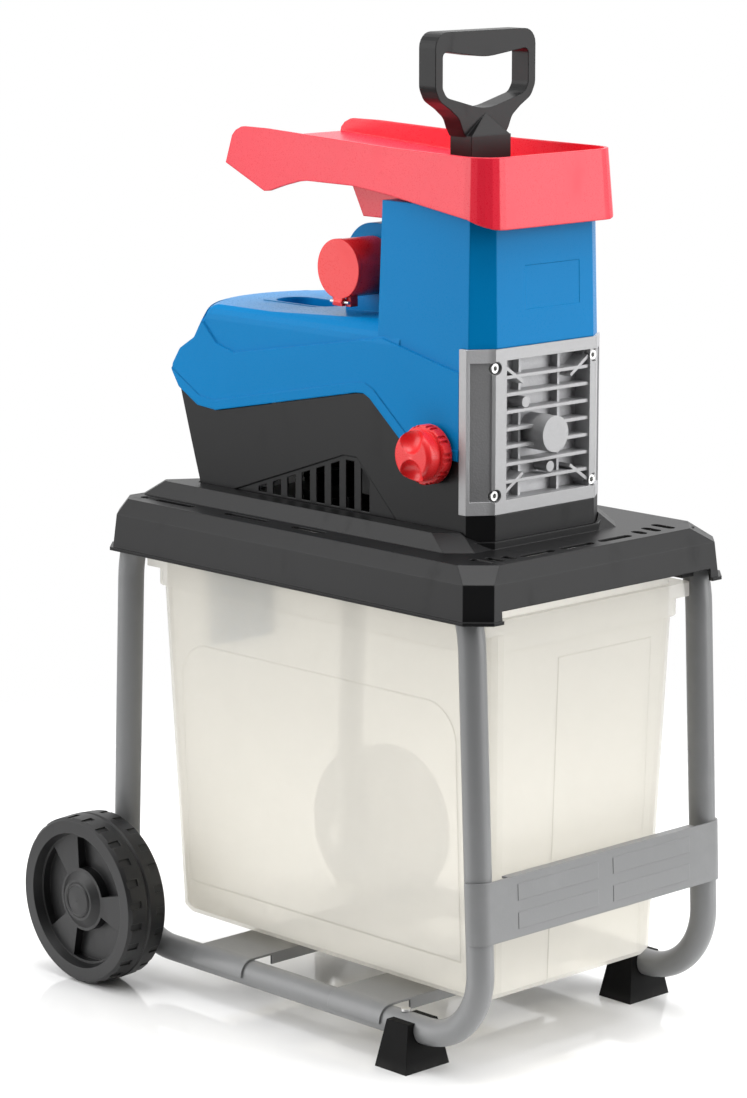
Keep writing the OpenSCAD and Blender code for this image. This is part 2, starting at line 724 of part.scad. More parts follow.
module collection_box() {
    rail = [13, 7, 84];
    rail_y = latch_w / 2 + 0.4;
    rail_z0 = box_top - 106;
    color("#e8e4d8", 0.8) on_base() translate([box_x, 0, 0]) {
        difference() {
            union() {
                box_form(0);
                translate([0, 0, box_top - 30]) linear_extrude(height = 30)
                    polygon(box_outline(1, -flange_out / 2, box_r));
                translate([0, 0, box_top - 13]) linear_extrude(height = 13)
                    polygon(box_outline(1, -flange_out, 4));
                for (y = [-1, 1]) translate([-box_l / 2 + 4,
                    latch_y + y * (rail_y + rail.y / 2) - rail.y / 2, 0])
                    block([-flange_out - room - latch_t - 6, 0, rail_z0], [20, rail.y, rail_z0 + rail.z]);
                for (x = [-1, 1], y = [-1, 1])
                    translate([x * (box_l / 2 - box_draft - 60) - 30,
                        y * (box_w / 2 - box_draft - 45) - 5, box_floor - skid_h])
                        cube([60, 10, skid_h + 2]);
            }
            box_form(box_wall);
            translate([latch_x - box_x - latch_t / 2 - room / 2, latch_y - latch_w / 2 - 3.4,
                rail_z0 - over])
                cube([latch_t + room, latch_w + 6.8, rail.z + 2 * over]);
        }
    }
}

// Slide latch held in the two rails on the back of the box
module box_latch() {
    h = 92;
    z0 = box_top - 110;
    color("#1f6fb5") on_base() translate([latch_x - latch_t / 2, latch_y, z0]) {
        translate([0, -latch_w / 2 - 3, 4]) cube([latch_t, latch_w + 6, 78]);
        translate([0, -latch_tongue / 2, 70]) cube([latch_t, latch_tongue, h + 14 - 70]);
        translate([-9, -latch_w / 4, 12]) cube([9.5, latch_w / 2, 8]);
    }
}

// Casing forms: heights above the deck, x from the middle of the cover
module plan_prism(hw, d) {
    translate([0, 0, -over]) linear_extrude(height = tower_h + 2 * over) polygon(inset([
        [nose_x - 60, -hw], [face_x - face_cx, -hw], [face_x, -hw + face_c], [face_x, hw - face_c],
        [face_x - face_cx, hw], [nose_x - 60, hw]
    ], d));
}

// Outline of the nose, which is turned about an upright axis
function nose_outline(hw, d) = let (r = nose_r - body_hw + hw, top = hood_h - hood_drop)
    rounded(inset([
        [-30, 0], [r - 35.5, 0], [r - 10.5, nose_h - 19], [r, nose_h], [r - 10.5, nose_h + 18.5],
        [r - 27, nose_h + 31], [r - 43, top], [-30, top]
    ], d), [0, 0, 0, 9 - d, 6, 8, 14 - d, 0]);

// Side view of the hood; a stepped one leaves the tower's front face to the tower
module hood_side(d, stepped) {
    low = hood_h - (stepped ? tower_base : 10);
    polygon(inset([
        [nose_x - 60, 0], [face_x, 0], [face_x, low], [tower_x + 30, low], [tower_x + 30, hood_h],
            [tower_x, hood_h],
        [nose_c, hood_h - hood_drop], [nose_x - 60, hood_h - hood_drop + 3]
    ], d));
}

module hood_section(hw, d) {
    outline = inset([[-hw, -over], [hw, -over], [hw, hood_h], [-hw, hood_h]], d);
    polygon(rounded(outline, [0, 0, 20 - d, 20 - d]));
}

// The hood and the lower casing as one form of half width hw, moved inwards by d
module casing_form(hw, d, stepped = true) {
    intersection() {
        plan_prism(hw, d);
        union() {
            translate([nose_c, 0, 0]) rotate_extrude($fn = 128) intersection() {
                polygon(nose_outline(hw, d));
                square([2 * nose_r, tower_h]);
            }
            block([nose_c, -2 * hw, -over], [face_x + over, 2 * hw, tower_h]);
        }
        across(4 * hw) hood_side(d, stepped);
        translate([nose_x - 60, 0, 0]) along_x(body_l + 70) hood_section(hw, d);
    }
}

function tower_outline(d) = let (hw = hood_hw)
    inset([
        [tower_x, -hw], [face_x - face_cx, -hw], [face_x, -hw + face_c], [face_x, hw - face_c],
        [face_x - face_cx, hw], [tower_x, hw]
    ], d);

module tower_form(d, top_over) {
    low = hood_h - tower_base - (d > 0 ? 2 * shell : 0);
    loft(low, tower_outline(d), tower_h + top_over, tower_outline(tower_lean + d));
}

// Rounded switch housing on the back of the tower, carrying the inlet
module hump_form(d) {
    translate([0, (hump_y[0] + hump_y[1]) / 2, 0]) across(hump_y[1] - hump_y[0] - 2 * d) {
        translate([inlet_x, hump_z]) circle(r = hump_r - d);
        translate([inlet_x, hood_h - 20])
            square([tower_x + 6 - inlet_x, hump_z + hump_r - d - hood_h + 20]);
        translate([inlet_x - hump_r + d, hood_h - 20]) square([hump_r, hump_z - hood_h + 20]);
    }
}

above_line = concat(parting, [[face_x + 40, tower_h + 50], [nose_x - 60, tower_h + 50]]);
module above_parting(hw) {
    across(4 * hw) polygon(above_line);
}

module cap_pocket(gap) {
    block([cap_x - gap, -body_w, cap_z - gap], [face_x + 50, body_w, cap_z + cap_h + gap]);
}

module housing_screw_places() {
    for (x = [foot_x0 + 30, face_x - 40], side = [-1, 1])
        translate([x, body_y + side * (body_hw - 14), deck_z]) children();
}

// Black lower half of the casing with its vents and the cradle under the motor
module lower_housing() {
    vent_top = [[nose_x + 84, 11], [nose_x + 240, 64], [nose_x + 258, 64], [nose_x + 312, 11]];
    pitch = 20;
    slot_w = 11;
    rim = 4.5;
    boss_h = cap_z - 6;
    hw = body_hw - 0.5;
    color("#1b1b1b") on_deck() difference() {
        union() {
            difference() {
                casing_form(hw, 0);
                casing_form(hw, shell);
                for (side = [-1, 1]) translate([0, side * (hw + 8.5), 0]) across(20) polygon(vent_top);
            }
            intersection() {
                casing_form(hw - shell / 2, shell / 2);
                union() {
                    for (x = [stator_x + 12, stator_x + stator_l - 20]) difference() {
                        block([x, -46, shell / 2], [x + 8, 46, drum_h - 24]);
                        translate([x - over, 0, drum_h]) rod_x(8 + 2 * over, stator_d / 2 + seat);
                    }
                    for (x = [foot_x0 + 30, face_x - 40], side = [-1, 1])
                        translate([x, side * (body_hw - 14), shell / 2]) cylinder(h = boss_h, r = 7);
                }
            }
        }
        translate([0, 0, -room]) above_parting(body_w);
        cap_pocket(seat);
        for (x = [nose_x + 128 : pitch : nose_x + 285]) across(2 * body_w) polygon([
            [x - slot_w / 2, 15], [x + slot_w / 2, 15],
            [x + slot_w / 2, lookup(x + slot_w / 2, vent_top) - rim],
            [x - slot_w / 2, lookup(x - slot_w / 2, vent_top) - rim]
        ]);
        translate([throat_x, 0, 0]) cube([throat_l, throat_w - 8, 4 * shell], center = true);
        translate([knob_x, -body_w, knob_z]) rod_y(body_w, screw_r + 4);
        for (x = [foot_x0 + 30, face_x - 40], side = [-1, 1])
            translate([x, side * (body_hw - 14), -over]) cylinder(h = 20, r = 2.5 + seat);
    }
}

module housing_screws() {
    color("silver") on_base() housing_screw_places() {
        translate([0, 0, -pad_h - cover_wall - seat]) cylinder(h = 18, r = 2.5);
        translate([0, 0, -pad_h - cover_wall - seat - 3]) cylinder(h = 3, r = 5);
    }
}

// Blue upper half of the casing: motor hood, tower and switch housing in one moulding
module upper_housing() {
    shaft_hole = [throat_l, throat_w] + 2 * (shaft_wall + seat) * [1, 1];
    grip = [86, 40, 16];
    grip_at = [nose_x + 113, -4, hood_h - 5.5];
    fillet = 14;
    color("#1a6fb0") on_deck() difference() {
        union() {
            difference() {
                union() {
                    casing_form(hood_hw, 0);
                    intersection() {
                        casing_form(body_hw, 0, false);
                        across(4 * body_w) polygon(concat(parting, crease));
                    }
                    intersection() {
                        casing_form(body_hw + 1, 0, false);
                        across(4 * body_w) difference() {
                            polygon(above_line);
                            polygon(inset(above_line, lip_h));
                        }
                    }
                    tower_form(0, 0);
                    hump_form(0);
                    across(2 * hood_hw - 30) difference() {
                        translate([tower_x - fillet, hood_h - 10]) square([fillet + 10, fillet + 10]);
                        translate([tower_x - fillet + 1, hood_h + fillet - 1]) circle(r = fillet);
                    }
                }
                casing_form(hood_hw, shell);
                tower_form(shell, -shell);
                hump_form(shell);
            }
            translate(grip_at - [grip.x / 2 + shell, grip.y / 2 + shell, grip.z + shell])
                cube([grip.x + 2 * shell, grip.y + 2 * shell, grip.z + shell]);
        }
        across(4 * body_w) polygon(concat([[nose_x - 60, -50], [face_x + 40, -50]], flipped(parting)));
        cap_pocket(seat);
        translate(grip_at - [0, 0, grip.z]) linear_extrude(height = 2 * grip.z)
            slot(grip.x, grip.y);
        translate([throat_x, 0, tower_h])
            cube([shaft_hole.x, shaft_hole.y, 4 * shell], center = true);
        translate([inlet_x, hump_y[0] - 10, inlet_z]) rod_y(20, inlet_r - 9 + seat);
        translate([knob_x, -body_w, knob_z]) rod_y(body_w, screw_r + 4);
        for (y = [button_y(0), button_y(1)]) translate([hump_x - 10, y, button_z])
            rod_x(20, button_d / 2 + seat);
        translate([hump_x - 10, button_y(2), button_z]) rod_x(20, 6 + seat);
        hopper_screw_places() translate([0, 0, -20]) cylinder(h = 30, r = 2);
    }
}

function button_y(k) = hump_y[0] + 13 + k * 21;

// Ribbed aluminium end casting with the drum's outer bearing in its boss
module end_casting() {
    floor_t = 6;
    edge = 12;
    low = [35.5 - body_hw, cap_z + edge];
    high = [body_hw - 29, cap_z + cap_h - edge + 1];
    gap = (high.y - low.y) / (fins + 1);
    boss_r = 16.5;
    web = [28, 19];
    chamfer = sqrt(face_c * face_c + face_cx * face_cx);
    color("silver") on_deck() difference() {
        union() {
            difference() {
                intersection() {
                    plan_prism(body_hw, 0);
                    cap_pocket(0);
                }
                block([cap_x + floor_t, low.x, low.y], [face_x + over, high.x, high.y]);
                for (side = [-1, 1])
                    translate([face_x - face_cx / 2, side * (body_hw - face_c / 2), cap_mid])
                        rotate(side * atan2(face_cx, face_c))
                        cube([2.4, chamfer * 0.76, cap_h - 2 * edge], center = true);
            }
            for (k = [1 : fins]) block(
                [cap_x + floor_t - over, low.x - over, low.y + k * gap - fin_t / 2],
                [face_x - 2, high.x + over, low.y + k * gap + fin_t / 2]
            );
            for (y = [-24, 26]) block(
                [cap_x + floor_t - over, y - 1.5, low.y - over], [face_x - 10, y + 1.5, high.y + over]
            );
            for (y = [0, 1], z = [0, 1]) {
                corner = [y > 0 ? high.x : low.x, z > 0 ? high.y - 6 : low.y + 6];
                lean = (y == z ? 1 : -1) * atan2(web.y, web.x);
                translate([cap_x + floor_t - over, corner.x, corner.y]) rotate([lean, 0, 0])
                    translate([0, y > 0 ? -web.x : 0, -fin_t / 2])
                        cube([face_x - 1 - cap_x - floor_t, web.x, fin_t]);
            }
            translate([cap_x + over, 0, drum_h]) rod_x(face_x + 12 - cap_x - over, boss_r);
            for (p = [[-24, 30], [8, -32]]) translate([cap_x + over, p.x, drum_h + p.y])
                rod_x(cap_t - 3, 5);
            cap_screw_places() translate([over, 0, 0]) rod_x(screw_seat, 8);
        }
        translate([cap_x - over, 0, drum_h]) rod_x(front_bearing_w + 4 + over, front_bearing_r + run);
        translate([cap_x - over, 0, drum_h]) rod_x(cap_t, journal_r + 1);
        cap_screw_places() {
            translate([-over, 0, 0]) rod_x(cap_t + 2 * over, 2.5 + seat);
            translate([screw_seat, 0, 0]) rod_x(cap_t, 6);
        }
    }
}

screw_seat = 17;
cap_screw_y = [23 - body_hw, body_hw - 23];
module cap_screw_places() {
    for (y = cap_screw_y, z = [-1, 1]) translate([cap_x, y, cap_mid + z * (cap_h / 2 - 17)]) children();
}

// Socket-head screws of the end casting
module end_casting_screws() {
    color("silver") on_deck() cap_screw_places() difference() {
        union() {
            translate([-14, 0, 0]) rod_x(14 + screw_seat + 2 * seat, 2.5);
            translate([screw_seat + seat, 0, 0]) rod_x(5, 4.5);
        }
        translate([screw_seat + 2.5, 0, 0]) rotate([0, 90, 0]) cylinder(h = 10, r = 2.4, $fn = 6);
    }
}

// Cast chamber round the drum, open above and below, with the gearbox wall at its back
module chamber_body() {
    y = chamber_y;
    w = chamber_wall;
    lug = 7;
    color("lightgray") on_deck() difference() {
        union() {
            block([wall_x, y[0] - w, chamber_z[0]], [cap_x - seat, y[1] + w, chamber_z[1]]);
            for (z = [-1, 1]) block(
                [cap_x - 16, cap_screw_y[0] - lug, cap_mid + z * (cap_h / 2 - 17) - lug],
                [cap_x - seat, cap_screw_y[1] + lug, cap_mid + z * (cap_h / 2 - 17) + lug]
            );
        }
        block([wall_x + wall_t, y[0], chamber_z[0] - over], [cap_x + over, y[1], chamber_z[1] + over]);
        translate([wall_x - over, 0, drum_h]) rod_x(wall_t + 2 * over, rear_bearing_r + run);
        translate([wall_x - over, idler_at.x, drum_h + idler_at.y]) rod_x(6 + over, idler_r + run);
        translate([knob_x, y[0] - 40, knob_z]) rod_y(50, screw_r + run);
        cap_screw_places() translate([-15, 0, 0]) rod_x(20, 2.5 + run);
    }
}

// Saw-toothed ring outline: each tooth climbs slowly and drops back in one step
function saw_ring(r_out, r_in, teeth) = [for (k = [0 : teeth - 1], s = [0, 0.55, 0.8, 1])
    let (a = (k + min(s, 0.82)) * 360 / teeth, r = s < 0.5 ? r_in : s < 0.9 ? r_out : r_in)
        r * [cos(a), sin(a)]];

// Cutting drum: rings of saw teeth, each ring turned against the last
module cutting_drum() {
    ring_w = drum_l / drum_rings;
    root_r = drum_r - 7;
    color("dimgray") on_axis() translate([drum_x, 0, 0]) rotate([90, 0, 90]) difference() {
        union() {
            cylinder(h = drum_l, r = root_r - 0.5);
            for (k = [0 : drum_rings - 1]) translate([0, 0, k * ring_w]) rotate(k * 360 / ring_teeth / 3)
                linear_extrude(height = ring_w - 1.5) polygon(saw_ring(drum_r, root_r, ring_teeth));
        }
        translate([0, 0, -over]) cylinder(h = drum_l + 2 * over, r = shaft_r + run);
    }
}

module drum_shaft() {
    start = gear2_x - 4;
    shoulder = drum_x + drum_l + 3;
    color("silver") on_axis() {
        translate([start, 0, 0]) rod_x(shoulder - start, shaft_r);
        translate([shoulder - slice, 0, 0]) rod_x(cap_x + 4 + front_bearing_w - shoulder, journal_r);
    }
}

module bearing(r_out, r_in, w) {
    race = (r_out - r_in) * 0.3;
    rotate([90, 0, 90]) difference() {
        cylinder(h = w, r = r_out);
        translate([0, 0, -over]) cylinder(h = w + 2 * over, r = r_in + run);
        for (z = [-over, w - 1]) translate([0, 0, z]) ring(r_out - race, r_in + race, 1 + over);
    }
}
module front_bearing() color("silver") on_axis() translate([cap_x + 3, 0, 0])
    bearing(front_bearing_r, journal_r, front_bearing_w);
module rear_bearing() color("silver") on_axis() translate([wall_x, 0, 0])
    bearing(rear_bearing_r, shaft_r, rear_bearing_w);

// Involute gear outline with a tooth centred on the first axis
function involute(rb, r) = let (t = sqrt(max(0, (r / rb) ^ 2 - 1))) t * 180 / PI - atan(t);
function gear_outline(teeth, m) =
    let (rp = teeth * m / 2, rb = rp * cos(20), tip = rp + 0.85 * m, root = rp - 1.25 * m)
    let (half = 90 / teeth - 0.12 * m / rp * 180 / PI + involute(rb, rp))
    let (flank = [for (k = [0 : 4])
        let (r = max(rb, root) + (tip - max(rb, root)) * k / 4) [r, half - involute(rb, r)]])
    [for (k = [0 : teeth - 1]) let (mid = k * 360 / teeth) each concat(
        [root * [cos(mid - flank[0].y), sin(mid - flank[0].y)]],
        [for (f = flank) f.x * [cos(mid - f.y), sin(mid - f.y)]],
        [for (f = flipped(flank)) f.x * [cos(mid + f.y), sin(mid + f.y)]],
        [root * [cos(mid + flank[0].y), sin(mid + flank[0].y)]]
    )];

module gear(teeth, m, w, turn) {
    rotate([90, 0, 90]) rotate(turn) linear_extrude(height = w) polygon(gear_outline(teeth, m));
}

module drum_gear() {
    turn = idler_turn + 180 / drum_teeth;
    color("gray") on_axis() translate([gear2_x, 0, 0]) difference() {
        gear(drum_teeth, drum_m, gear2_w, turn);
        translate([-over, 0, 0]) rod_x(gear2_w + 2 * over, shaft_r + run);
        for (k = [0 : 5]) rotate([k * 60, 0, 0])
            translate([-over, 0, (shaft_r + drum_m * drum_teeth / 2) / 2])
            rod_x(gear2_w + 2 * over, 6);
    }
}

// Countershaft with its wheel and pinion
module countershaft() {
    color("darkgray") on_axis() translate([0, idler_at.x, idler_at.y]) {
        translate([gearbox_x + gearbox_wall - 5, 0, 0])
            rod_x(wall_x + 5 - gearbox_x - gearbox_wall + 5, idler_r);
        translate([gear1_x, 0, 0])
            gear(idler_teeth, gear_m, gear1_w, idler_turn + 180 + 180 / idler_teeth);
        translate([gear1_x + gear1_w - slice, 0, 0])
            gear(pinion_teeth, drum_m, gear2_x + gear2_w + 2 - gear1_x - gear1_w, idler_turn + 180);
    }
}

// Gearbox case, bolted between the motor and the chamber
module gearbox_case() {
    w = 4;
    y = [-(drum_m * drum_teeth / 2 + 8), idler_at.x + gear_m * idler_teeth / 2 + 4];
    z = [idler_at.y - gear_m * idler_teeth / 2 - 4, drum_m * drum_teeth / 2 + 8];
    color("lightgray") on_axis() difference() {
        union() {
            block([gearbox_x, y[0] - w, z[0] - w], [wall_x - seat, y[1] + w, z[1] + w]);
            translate([gearbox_x, 0, 0]) rod_x(gearbox_wall, stator_d / 2 - 2);
        }
        block([gearbox_x + gearbox_wall, y[0], z[0]], [wall_x + over, y[1], z[1]]);
        translate([gearbox_x - over, 0, 0]) rod_x(motor_bearing_w + over, motor_bearing_r + run);
        translate([gearbox_x - over, 0, 0]) rod_x(gearbox_wall + 2 * over, motor_shaft_r + 1);
        translate([gearbox_x + gearbox_wall - 6, idler_at.x, idler_at.y]) rod_x(10, idler_r + run);
    }
}

module motor_stator() {
    slots = 18;
    color("#b87333") on_axis() translate([stator_x, 0, 0]) rotate([90, 0, 90]) difference() {
        ring(stator_d / 2, rotor_d / 2 + room, stator_l - seat);
        for (k = [0 : slots - 1]) rotate(k * 360 / slots) translate([rotor_d / 2 + 4, -3, -over])
            cube([13, 6, stator_l + 2 * over]);
    }
}

// Rotor core on its shaft, with the pinion cut on the shaft's end
module motor_rotor() {
    color("silver") on_axis() {
        translate([fan_x - 4, 0, 0]) rod_x(gear1_x - 2 - fan_x + 4, motor_shaft_r);
        translate([stator_x + 2, 0, 0]) rod_x(stator_l - 4, rotor_d / 2);
        translate([gear1_x - 2 - slice, 0, 0]) gear(pinion_teeth, gear_m, gear1_w + 4, idler_turn);
    }
}

module motor_bearings() {
    color("silver") on_axis() for (x = [gearbox_x, stator_x - motor_bearing_w])
        translate([x, 0, 0]) bearing(motor_bearing_r, motor_shaft_r, motor_bearing_w - seat);
}

module motor_end_shield() {
    color("lightgray") on_axis() translate([stator_x - shield_t - seat, 0, 0]) rotate([90, 0, 90])
        difference() {
        cylinder(h = shield_t, r = stator_d / 2);
        translate([0, 0, shield_t - motor_bearing_w - seat])
            cylinder(h = shield_t, r = motor_bearing_r + run);
        translate([0, 0, -over]) cylinder(h = shield_t + 2 * over, r = motor_shaft_r + 1);
        for (k = [0 : 5]) rotate(k * 60) translate([stator_d * 0.33, 0, -over])
            cylinder(h = 2 * shield_t, r = 11);
    }
}

module motor_fan() {
    blades = 7;
    color("#303030") on_axis() translate([fan_x, 0, 0]) rotate([90, 0, 90]) difference() {
        union() {
            cylinder(h = fan_w, r = 14);
            translate([0, 0, fan_w - 3]) cylinder(h = 3, r = fan_r);
            for (k = [0 : blades - 1]) rotate(k * 360 / blades) translate([10, -1.5, 0])
                cube([fan_r - 12, 3, fan_w - 2]);
        }
        translate([0, 0, -over]) cylinder(h = fan_w + 2 * over, r = motor_shaft_r + run);
    }
}

// Run capacitor lying across the casing floor, clipped to it by its own foot
module motor_capacitor() {
    r = 17;
    l = 80;
    x = nose_x + 52;
    color("#dddddd") on_deck() translate([x, 0, shell + seat + 6]) {
        translate([0, -l / 2, r]) rod_y(l, r);
        block([-10, -l / 2 + 10, -6], [10, l / 2 - 10, 4]);
    }
}

// Pressure plate that the branches are cut against, moved by the adjusting screw
module pressure_plate() {
    w = drum_l - 2;
    x = drum_x + 1;
    hh = 30;
    grooves = 7;
    color("gray") on_deck() difference() {
        block([x, jaw_back, drum_h - hh], [x + w, jaw_back + jaw_t, drum_h + hh]);
        for (k = [1 : grooves]) translate([x - over, jaw_back + jaw_t,
            drum_h - hh + k * 2 * hh / (grooves + 1)])
            rotate([45, 0, 0]) cube([w + 2 * over, 3, 3]);
        translate([knob_x, jaw_back - over, knob_z]) rod_y(10 + over, screw_r + run);
    }
}

module adjusting_screw() {
    color("silver") on_deck() translate([knob_x, -body_hw - 9, knob_z])
        rod_y(body_hw + 9 + jaw_back + 7.5, screw_r);
}

// Knob with a notched skirt and a raised grip bar between two finger hollows
module adjusting_knob() {
    skirt = 11.5;
    dome = 15;
    notches = 10;
    r = knob_d / 2;
    color("#e23b36") on_deck() translate([knob_x, -body_hw - 1.6, knob_z]) rotate([90, 0, 0])
        difference() {
        rotate_extrude() polygon(concat(
            [[0, 0], [r - 1, 0], [r, 1.5], [r, skirt - 1], [r - 1, skirt], [r - 4, skirt],
                [r - 4, skirt + 1]],
            [for (a = [0 : 15 : 75]) [r - 9 + 5 * cos(a), skirt + dome - 6 + 6 * sin(a)]],
                [[0, skirt + dome]]
        ));
        for (side = [-1, 1]) translate([0, side * 16.5, skirt + dome + 4]) scale(1.9) sphere(r = 7.6);
        for (k = [0 : notches - 1]) rotate(k * 360 / notches) {
            translate([r - 1.6, -4, 3]) cube([5, 3, skirt]);
            translate([r - 1.6, 1, 3]) cube([5, 3, skirt]);
        }
        translate([0, 0, -over]) cylinder(h = 9 + over, r = screw_r + run);
    }
}

// Appliance inlet: a barrel with a deep socket and two hinge ears under its mouth
module inlet_socket() {
    ear = 6;
    color("#d8352f") on_inlet() difference() {
        union() {
            translate([0, -inlet_l, 0]) rod_y(inlet_l - seat, inlet_r);
            translate([0, -seat - slice, 0]) rod_y(10, inlet_r - 9);
            for (x = [-12, 12 - ear]) block([x, -inlet_l, -hinge_drop - 4],
                [x + ear, -inlet_l + 9, -inlet_r + 8]);
        }
        translate([0, -inlet_l - over, 0]) rod_y(26 + over, inlet_r - 6);
        translate([-inlet_d, -inlet_l - flap_t / 2, -hinge_drop]) rod_x(2 * inlet_d, flap_pin_r + run);
        for (p = pin_places()) translate([p.x, -inlet_l, p.y]) rod_y(inlet_l + 20, 2.5 + seat);
    }
}
function pin_places() = [[-7, -4], [7, -4], [0, 8]];

module inlet_pins() {
    color("goldenrod") on_inlet() for (p = pin_places()) translate([p.x, -inlet_l + 12, p.y])
        rod_y(inlet_l - 8, 2.5);
}

module inlet_flap() {
    y = -inlet_l - flap_t - 0.4;
    color("#e03a34") on_inlet() difference() {
        union() {
            translate([0, y, 0]) rod_y(flap_t, inlet_r + 0.5);
            translate([0, y + flap_t - slice, 0]) rotate([-90, 0, 0]) ring(inlet_r - 7, inlet_r - 9, 3);
            block([-5.5, y, -hinge_drop - 3.5], [5.5, y + flap_t, -inlet_r + 4]);
            translate([-5.5, -inlet_l - flap_t / 2, -hinge_drop]) rod_x(11, 3.5);
        }
        translate([-inlet_d, -inlet_l - flap_t / 2, -hinge_drop]) rod_x(2 * inlet_d, flap_pin_r + run);
    }
}

module flap_pin() {
    color("silver") on_inlet() translate([-12, -inlet_l - flap_t / 2, -hinge_drop]) rod_x(24, flap_pin_r);
}

// Switch block behind the buttons, held against the inside of the switch housing
module switch_block() {
    back = hump_x + shell + 9;
    color("#444444") on_deck() difference() {
        union() {
            block([back, hump_y[0] + shell + 3, button_z - 14],
                [back + 24, hump_y[1] - shell - seat, button_z + 16]);
            block([hump_x + shell + seat, button_y(0), button_z + button_d / 2 + 3],
                [back + 1, button_y(2), button_z + 16]);
        }
        translate([inlet_x, hump_y[0] - 10, inlet_z]) rod_y(24, inlet_r - 8);
    }
}

module button(k) {
    flange_r = button_d / 2 + 1.5;
    on_deck() translate([hump_x, button_y(k), button_z]) {
        translate([-4, 0, 0]) rod_x(4 + shell + seat + 1, button_d / 2);
        translate([shell + seat, 0, 0]) rod_x(2, flange_r);
    }
}
module start_button() color("green") button(1);
module stop_button() color("red") button(0);

// Turning selector for the drum's direction
module direction_switch() {
    color("#303030") on_deck() translate([hump_x, button_y(2), button_z]) {
        translate([-6, 0, 0]) rod_x(6 - seat, 9.5);
        translate([-11, -2.5, -9]) cube([6, 5, 18]);
        translate([-seat - slice, 0, 0]) rod_x(shell + 7, 6);
    }
}

// Feed shaft between the hopper's throat and the chamber
module feed_shaft() {
    low = chamber_z[1] + seat;
    color("#242424") on_deck() difference() {
        block(
            [throat_x - throat_l / 2 - shaft_wall, -throat_w / 2 - shaft_wall, low],
            [throat_x + throat_l / 2 + shaft_wall, throat_w / 2 + shaft_wall, tower_h + 4]
        );
        block([throat_x - throat_l / 2, -throat_w / 2, low - over],
            [throat_x + throat_l / 2, throat_w / 2, tower_h + 4 + over]);
    }
}

// Hopper walls as one lofted form, moved inwards by d
function hopper_outline(x0, x1, w0, w1, r) =
    rounded([[x0, -w0 / 2], [x1, -w1 / 2], [x1, w1 / 2], [x0, w0 / 2]], [0, r, r, 0]);

module hopper_form(d) {
    back = face_x - mouth_l - 70;
    front = face_x + 11;
    low_w = 2 * (hood_hw + hopper_over);
    grow = d > 0 ? over : 0;
    low = hopper_outline(back - grow, front - d, mouth_w + 5 - 2 * d, low_w - 2 * d, hopper_r + 2 - d / 2);
    top = hopper_outline(
        back - grow, front - hopper_flare - d, mouth_w - 3 - 2 * d, low_w - 2 * hopper_flare - 2 * d,
            hopper_r - d / 2
    );
    loft(-18, low, hopper_rise + grow, top);
}

module hopper_screw_places() {
    for (x = [-1, 1], y = [-1, 1])
        translate([throat_x + x * (throat_l / 2 - 12), y * (throat_w / 2 + 13), tower_h]) children();
}

module hopper() {
    mouth = face_x - mouth_l;
    t = hopper_wall;
    lower_edge = [
        [mouth - 22, 19], [mouth + 36, -3.6], [mouth + 43.5, -3], [mouth + 64.5, 3.4], [mouth + 85, 8.5],
        [mouth + 97, 10], [tower_x - 35, 10], [tower_x + 17, 5], [face_x - 13, -8.5], [face_x + 10, -17.5],
        [face_x + 40, -20], [face_x + 40, -60], [mouth - 90, -60], [mouth - 90, hopper_rise + 20],
        [mouth + 9, hopper_rise + 20], [mouth + 9, hopper_rise + over], [mouth - 1, hopper_rise - 0.5],
        [mouth - 9, hopper_rise - 4], [mouth - 14, hopper_rise - 9]
    ];
    rim_line = [
        [mouth + 9, hopper_rise + over], [tower_x + 15, hopper_rise - rim_drop * 0.75],
        [face_x + 40, hopper_rise - rim_drop], [face_x + 40, hopper_rise + 20],
            [mouth + 9, hopper_rise + 20]
    ];
    floor_line = [
        [mouth - 14, hopper_rise - 13], [throat_x - throat_l / 2 - 22, floor_h + 8],
            [throat_x - throat_l / 2, floor_h],
        [face_x + 20, floor_h]
    ];
    color("#e8354a") on_tower() difference() {
        union() {
            difference() {
                hopper_form(0);
                hopper_form(t);
                across(2 * mouth_l) polygon(lower_edge);
                across(2 * mouth_l) polygon(rim_line);
            }
            intersection() {
                hopper_form(t / 2);
                across(2 * mouth_l) polygon(concat(floor_line, flipped(lifted(floor_line, -t))));
            }
            block(
                [throat_x - throat_l / 2 - t, -throat_w / 2 - t, 4 + seat],
                [throat_x + throat_l / 2 + t, throat_w / 2 + t, floor_h]
            );
            across(throat_w + 2 * t - 12) polygon([
                [throat_x - throat_l / 2 - 84, hopper_rise - 30], [throat_x - throat_l / 2, floor_h - 2],
                [throat_x - throat_l / 2, -21], [tower_x - 53.5, -21], [tower_x - 67.5, 5]
            ]);
            translate([0, 0, -tower_h]) hopper_screw_places() translate([0, 0, seat])
                cylinder(h = floor_h - 1, r = 6);
        }
        block(
            [throat_x - throat_l / 2, -throat_w / 2, -60],
                [throat_x + throat_l / 2, throat_w / 2, floor_h + over]
        );
        block(
            [throat_x - throat_l / 2 - shaft_wall - seat, -throat_w / 2 - shaft_wall - seat, -60],
            [throat_x + throat_l / 2 + shaft_wall + seat, throat_w / 2 + shaft_wall + seat, 4 + seat]
        );
        translate([0, 0, -tower_h]) tower_form(-room, room);
        translate([0, 0, -tower_h]) hopper_screw_places() translate([0, 0, -over])
            cylinder(h = 60, r = 2 + seat);
    }
}

module hopper_screws() {
    color("silver") on_deck() hopper_screw_places() {
        translate([0, 0, -12]) cylinder(h = floor_h + 12 + seat, r = 2 - run);
        translate([0, 0, floor_h + seat]) cylinder(h = 3, r = 4.5);
    }
}

